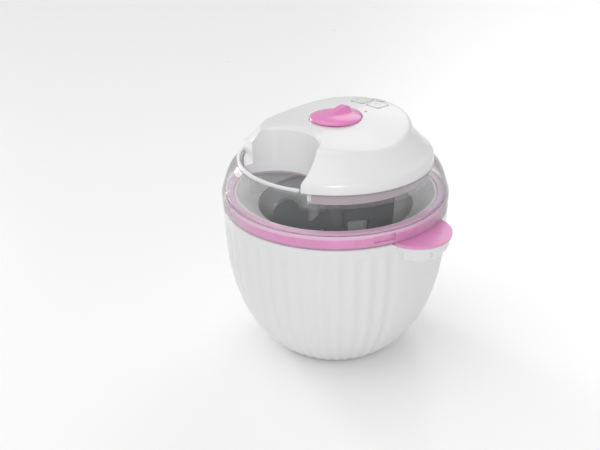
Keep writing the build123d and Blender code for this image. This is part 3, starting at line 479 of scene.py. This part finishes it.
line_grey = (0.30, 0.31, 0.32)
finishes = {
    "housing_white": plastic("housing_white", (0.74, 0.74, 0.745), 0.32, 0.04, 0.25),
    "cover_white": plastic("cover_white", (0.80, 0.80, 0.805), 0.30, 0.03, 0.3),
    "liner_grey": plastic("liner_grey", (0.42, 0.43, 0.45), 0.5, 0.1, 0.0, 0.1),
    # The ring's paler top band is a painted highlight.
    "grip_pink": ring_plastic_painted_highlight("grip_pink", (0.74, 0.27, 0.54), (0.88, 0.62, 0.80), 0.1625),
    "knob_pink": plastic("knob_pink", (0.80, 0.24, 0.54), 0.25, 0.06, 0.35),
    "rim_grey": plastic("rim_grey", (0.80, 0.81, 0.81), 0.38, 0.06, 0.1),
    "cup_metal": metal("cup_metal", (0.94, 0.95, 0.95), 0.4, 500.0, 0.1),
    "coolant": plastic("coolant", (0.30, 0.55, 0.72), 0.2, 0.3, 0.5),
    "silicone": plastic("silicone", (0.80, 0.56, 0.70), 0.5, 0.08, 0.0, 0.06),
    "lid_clear": clear_plastic("lid_clear"),
    "base_grey": tray_plastic("base_grey", (0.50, 0.42, 0.47), (0.80, 0.80, 0.805)),
    "gear_white": plastic("gear_white", (0.78, 0.76, 0.68), 0.42, 0.08, 0.0),
    "drive_steel": metal("drive_steel", (0.56, 0.56, 0.57), 0.25),
    "motor_steel": metal("motor_steel", (0.44, 0.45, 0.46), 0.35, 300.0),
    "bush_bronze": metal("bush_bronze", (0.62, 0.40, 0.18), 0.4),
    "screw_zinc": metal("screw_zinc", (0.58, 0.58, 0.55), 0.3),
    "board_green": coated(
        "board_green", "speckle",
        {"Colour": (0.03, 0.16, 0.07), "Speck": (0.10, 0.30, 0.14), "Amount": 0.5, "Gloss": 0.35}, 0.1,
    ),
    "switch_black": plastic("switch_black", (0.03, 0.03, 0.03), 0.4, 0.2, 0.0, 0.1),
    "display_grey": printed_key("display_grey", "display_window", (0.74, 0.79, 0.75), line_grey, 0.62),
    "key_white": printed_key("key_white", "start_key", (0.82, 0.82, 0.82), line_grey, 0.36),
    "light_red": plastic("light_red", (0.62, 0.16, 0.14), 0.15, 0.05, 0.6),
    "foot_rubber": coated(
        "foot_rubber", "speckle",
        {"Colour": (0.03, 0.03, 0.03), "Speck": (0.22, 0.21, 0.20), "Amount": 0.25, "Gloss": 0.75}, 0.25,
    ),
    "gland_rubber": coated(
        "gland_rubber", "speckle",
        {"Colour": (0.62, 0.62, 0.63), "Speck": (0.45, 0.45, 0.46), "Amount": 0.3, "Gloss": 0.6}, 0.15,
    ),
    "paddle_grey": plastic("paddle_grey", (0.15, 0.155, 0.16), 0.42, 0.15, 0.05, 0.08),
}
timer_finish = printed_key("timer_white", "timer_key", (0.82, 0.82, 0.82), line_grey, 0.5)
for part in frame["record"]["subparts"]:
    node = frame["nodes"][part["node"]]
    node.data.materials.clear()
    node.data.materials.append(finishes[part["material_slot"]])
frame["nodes"]["timer_key"].data.materials[0] = timer_finish

# ------------------------------------------------------------------ sizes from the frame, in mm
tub_low, tub_high = (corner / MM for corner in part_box("outer_housing"))
ring_low, ring_high = (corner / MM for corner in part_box("bowl_ring"))
lid_low, lid_high = (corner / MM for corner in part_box("clear_lid"))
cover_low, cover_high = (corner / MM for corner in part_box("motor_cover"))
knob_low, knob_high = (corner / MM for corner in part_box("control_knob"))
tub_radius = tub_high.y
rim_height = tub_high.z
flute_count = 48
columns = 8


def tub_radius_at(height):
    """Outer radius of the tub: straight under the rim, then a superellipse."""
    bulge = rim_height - 24.0
    if height >= bulge:
        return tub_radius
    share = (bulge - height) / (bulge + 20.0)
    return tub_radius * (1 - share**2.3) ** (1 / 2.3)


# ------------------------------------------------------------------ camera, floor and light
def studio():
    """Camera at its place, pale floor, and soft light from four sides."""
    eye = Vector((418, -426, 424)) * MM
    aim = Vector((0, 0, 122.5)) * MM
    camera_data = bpy.data.cameras.new("camera")
    camera_data.lens = 39.2
    camera_data.sensor_width = 36.0
    camera_data.shift_x = -0.0593
    camera = bpy.data.objects.new("camera", camera_data)
    camera.location = eye
    camera.rotation_euler = (aim - eye).to_track_quat("-Z", "Y").to_euler()
    scene.collection.objects.link(camera)
    scene.camera = camera

    put_everything_down()
    bpy.ops.mesh.primitive_plane_add(size=24.0, location=(0, 0, 0))
    floor = bpy.context.object
    floor.name = "floor"
    floor.data.materials.append(plastic("floor_pale", (0.97, 0.97, 0.97), 0.3, 0.01, 0.0, 0.0))

    world = bpy.data.worlds.new("studio")
    world.use_nodes = True
    world.node_tree.nodes["Background"].inputs["Color"].default_value = (1, 1, 1, 1)
    world.node_tree.nodes["Background"].inputs["Strength"].default_value = 0.48
    scene.world = world
    scene.view_settings.view_transform = "Standard"

    suns = (
        ("overhead_light", (-0.35, -0.35, 1.5), 60.0, 0.85),
        ("back_light", (-0.5, 1.2, 0.9), 40.0, 0.45),
        ("front_light", (0.66, -0.67, 0.56), 12.0, 1.0),
        ("left_light", (-1.0, 0.05, 0.40), 15.0, 0.7),
    )
    for name, spot, spread, strength in suns:
        light_data = bpy.data.lights.new(name, "SUN")
        light_data.angle = radians(spread)
        light_data.energy = strength
        light = bpy.data.objects.new(name, light_data)
        light.location = spot
        light.rotation_euler = (aim - Vector(spot)).to_track_quat("-Z", "Y").to_euler()
        scene.collection.objects.link(light)


studio()


# ------------------------------------------------------------------ tub
def flute_columns(piece, share, heights):
    """Press each column of the outer wall inwards by its share of a cosine flute."""
    for phase in range(1, columns):
        cut_depth = flute_depth * share * (1 - cos(tau * phase / columns)) / 2
        factor = 1 - cut_depth / tub_radius

        def in_column(spot):
            """Whether a vertex lies on this phase's columns, at these heights, off the grip panels."""
            radius, height = hypot(spot.x, spot.y) / MM, spot.z / MM
            if not heights[0] - 0.01 <= height <= heights[1] + 0.01:
                return False
            if abs(radius - tub_radius_at(height)) > 0.3:
                return False
            turn = atan2(spot.y, spot.x) / tau * flute_count * columns
            off_panel = abs(atan2(abs(spot.y), abs(spot.x))) > radians(14.9)
            return off_panel and round(turn) % columns == phase

        choose(piece, "VERT", in_column)
        bpy.ops.transform.resize(value=(factor, factor, 1), center_override=(0, 0, 0))


def lug_form(side):
    """Scooped lug under one grip: a bowl shape with a finger pocket on either flank."""
    reach = tub_high.x
    size = 32.0
    pocket_turn = radians(47)
    top = rim_height - 2.8
    rounds = [(size * cos(radians(a)), top - 3.0 - 21.0 * sin(radians(a))) for a in range(0, 90, 6)]
    lug = lathed("lug", [(0.01, top), (size - 0.6, top), (size, top - 0.6), *rounds, (0.01, top - 24.0)], 96)
    pick_up(lug)
    bpy.ops.transform.translate(value=(side * (reach - size) * MM, 0, 0))
    settle(lug)
    tidy_mesh(lug)
    for flank in (1, -1):
        across = side * (reach - size + 38.0 * cos(pocket_turn))
        along = flank * 38.0 * sin(pocket_turn)
        put_everything_down()
        bpy.ops.mesh.primitive_cube_add(
            size=1.0, location=(across * MM, along * MM, (top - 11.8) * MM),
            rotation=(0, 0, atan2(flank * sin(pocket_turn), side * cos(pocket_turn))),
            scale=(26.0 * MM, 27.0 * MM, 17.6 * MM),
        )
        pocket = bpy.context.object
        settle(pocket)
        use_modifier(pocket, "BEVEL", width=3.5 * MM, segments=5)
        cut(lug, pocket)
    put_everything_down()
    bpy.ops.mesh.primitive_cylinder_add(vertices=256, radius=(tub_radius - 1.5) * MM, depth=0.4)
    core = bpy.context.object
    settle(core)
    cut(lug, core)
    return lug


def tub_shell():
    """Fluted tub: rings pulled up its outside and down its inside, flutes pressed, lugs joined."""
    wall = 3.0
    low = tub_low.z
    outer = [low + 0.8, 4.5, 7, 10, 14, 19, 25, 32, 40, 49, 59, 70, 81, 92, 103, 114, 122]
    fades = [rim_height - back for back in (26, 22, 18, 15, 12, 9, 6.5, 4)]
    inner = [rim_height - 20, 122, 104, 86, 68, 50, 36, 24, 15, 9, 6]
    profile = [(tub_radius_at(low) - wall, low), (tub_radius_at(low) - 0.8, low)]
    profile += [(tub_radius_at(z), z) for z in outer + fades]
    profile += [(tub_radius, rim_height - 2.8), (tub_radius, rim_height - 0.7), (tub_radius - 0.7, rim_height)]
    profile += [(tub_radius - wall, rim_height)]
    profile += [(tub_radius_at(z) - wall, z) for z in inner]
    tub = lathed("tub_shell", profile, flute_count * columns, loop=True)
    tidy_mesh(tub)
    bpy.ops.object.mode_set(mode="EDIT")
    flute_columns(tub, 1.0, (low + 0.5, fades[2]))
    for step, height in enumerate(fades[3:-1]):
        share = 1 - (step + 1) / (len(fades) - 3)
        flute_columns(tub, share * share * (3 - 2 * share), (height, height))
    # The rim is lower under the two tabs.
    notch = rim_height - 2.8
    tab_half = (ring_high.x - 101.4 + 0.6) * MM
    choose(tub, "VERT", lambda spot: spot.z > (notch + 0.01) * MM and abs(spot.y) < tab_half)
    bpy.ops.transform.resize(value=(1, 1, 0), center_override=(0, 0, notch * MM))
    bpy.ops.object.mode_set(mode="OBJECT")
    tidy_mesh(tub)
    for side in (1, -1):
        cut(tub, lug_form(side), "UNION")
    smooth(tub, 40)
    return place(tub, "base_unit", "housing_white", "outer_housing")


# ------------------------------------------------------------------ control knob
def knob_piece():
    """Shallow domed disc with one broad wave-like finger ridge across it."""
    base = knob_low.z
    radius = knob_high.x
    top = knob_high.z - base
    rounds = [
        (0.01, 5.4), (8, 5.3), (14, 4.9), (19, 4.2), (22.4, 3.2), (24.4, 2.1), (radius, 1.3), (radius, 0.5),
        (radius - 0.5, 0), (3.1, 0), (3.1, 4.2), (0.01, 4.2),
    ]
    disc = lathed("knob_piece", [(r, base + z) for r, z in rounds], 128)
    tidy_mesh(disc)
    put_everything_down()
    bpy.ops.mesh.primitive_cube_add(
        size=1.0, location=(0, -1.0 * MM, (base + 0.8 + top / 2) * MM),
        scale=(36.0 * MM, 45.0 * MM, top * MM),
    )
    ridge = bpy.context.object
    settle(ridge)
    bpy.ops.object.mode_set(mode="EDIT")
    bpy.ops.mesh.subdivide(number_cuts=14)
    floor_z = (base + 0.8) * MM
    for level in range(1, 16):
        share = level / 15
        spot_z = floor_z + top * share * MM
        choose(ridge, "VERT", lambda spot: abs(spot.z - spot_z) < 0.02 * MM)
        narrowing = 1 - 0.8 * share**0.55
        bpy.ops.transform.resize(value=(narrowing, 1, 1), center_override=(0, 0, spot_z))
    crest = smooth_line(
        [(-23.5, 1.8), (-16, 4.2), (-8, 6.4), (0, 8.2), (6, 9.8), (11, 10.5), (15, 9.6), (19, 5.6), (21.5, 1.6)], 8
    )
    for column in range(16):
        spot_y = -23.5 + 3.0 * column
        before = [point for point in crest if point[0] <= spot_y + 0.001][-1]
        after = [point for point in crest if point[0] >= spot_y - 0.001][0]
        step = after[0] - before[0]
        height = before[1] + (after[1] - before[1]) * ((spot_y - before[0]) / step if step else 0)
        choose(ridge, "VERT", lambda spot: abs(spot.y - spot_y * MM) < 0.02 * MM)
        bpy.ops.transform.resize(value=(1, 1, (height - 0.8) / top), center_override=(0, 0, floor_z))
    bpy.ops.object.mode_set(mode="OBJECT")
    use_modifier(ridge, "BEVEL", width=1.2 * MM, segments=4, limit_method="ANGLE", angle_limit=radians(50))
    use_modifier(ridge, "SUBSURF", levels=1)
    put_everything_down()
    bpy.ops.mesh.primitive_cylinder_add(
        vertices=128, radius=(radius - 0.8) * MM, depth=30.0 * MM, location=(0, 0, base * MM)
    )
    limit = bpy.context.object
    settle(limit)
    cut(ridge, limit, "INTERSECT")
    cut(disc, ridge, "UNION")
    smooth(disc, 35)
    return place(disc, "knob", "knob_pink", "control_knob")


flute_depth = 1.5
tub_shell()
knob_piece()
